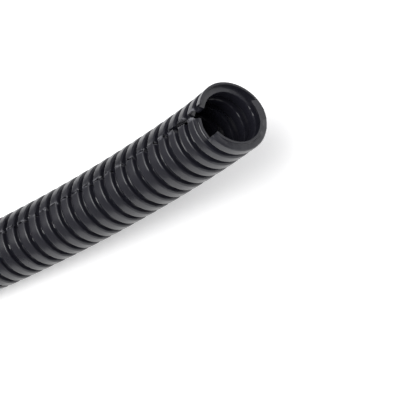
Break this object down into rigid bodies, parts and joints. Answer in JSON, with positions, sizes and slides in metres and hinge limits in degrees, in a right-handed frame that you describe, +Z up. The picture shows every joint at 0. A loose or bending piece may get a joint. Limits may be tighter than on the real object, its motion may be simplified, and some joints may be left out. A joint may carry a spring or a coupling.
{
  "type": "split corrugated conduit",
  "caption": "Flexible black plastic conduit with square ribs, slit along its length; straight, then bent sideways, with its hand-cut mouth rising off the floor.",
  "frame": {"origin": "centre of the square-cut end of the straight stretch, on the bore's axis", "axes": "+X along the bore from that end, +Z up with the slit on top, +Y towards the side that the conduit bends to"},
  "size_m": [0.9902, 0.0659, 0.026],
  "materials": {
    "conduit": "satin black polyethylene, smooth crests with a soft sheen"
  },
  "bodies": {
    "root": {"conduit": "conduit"}
  },
  "joints": []
}
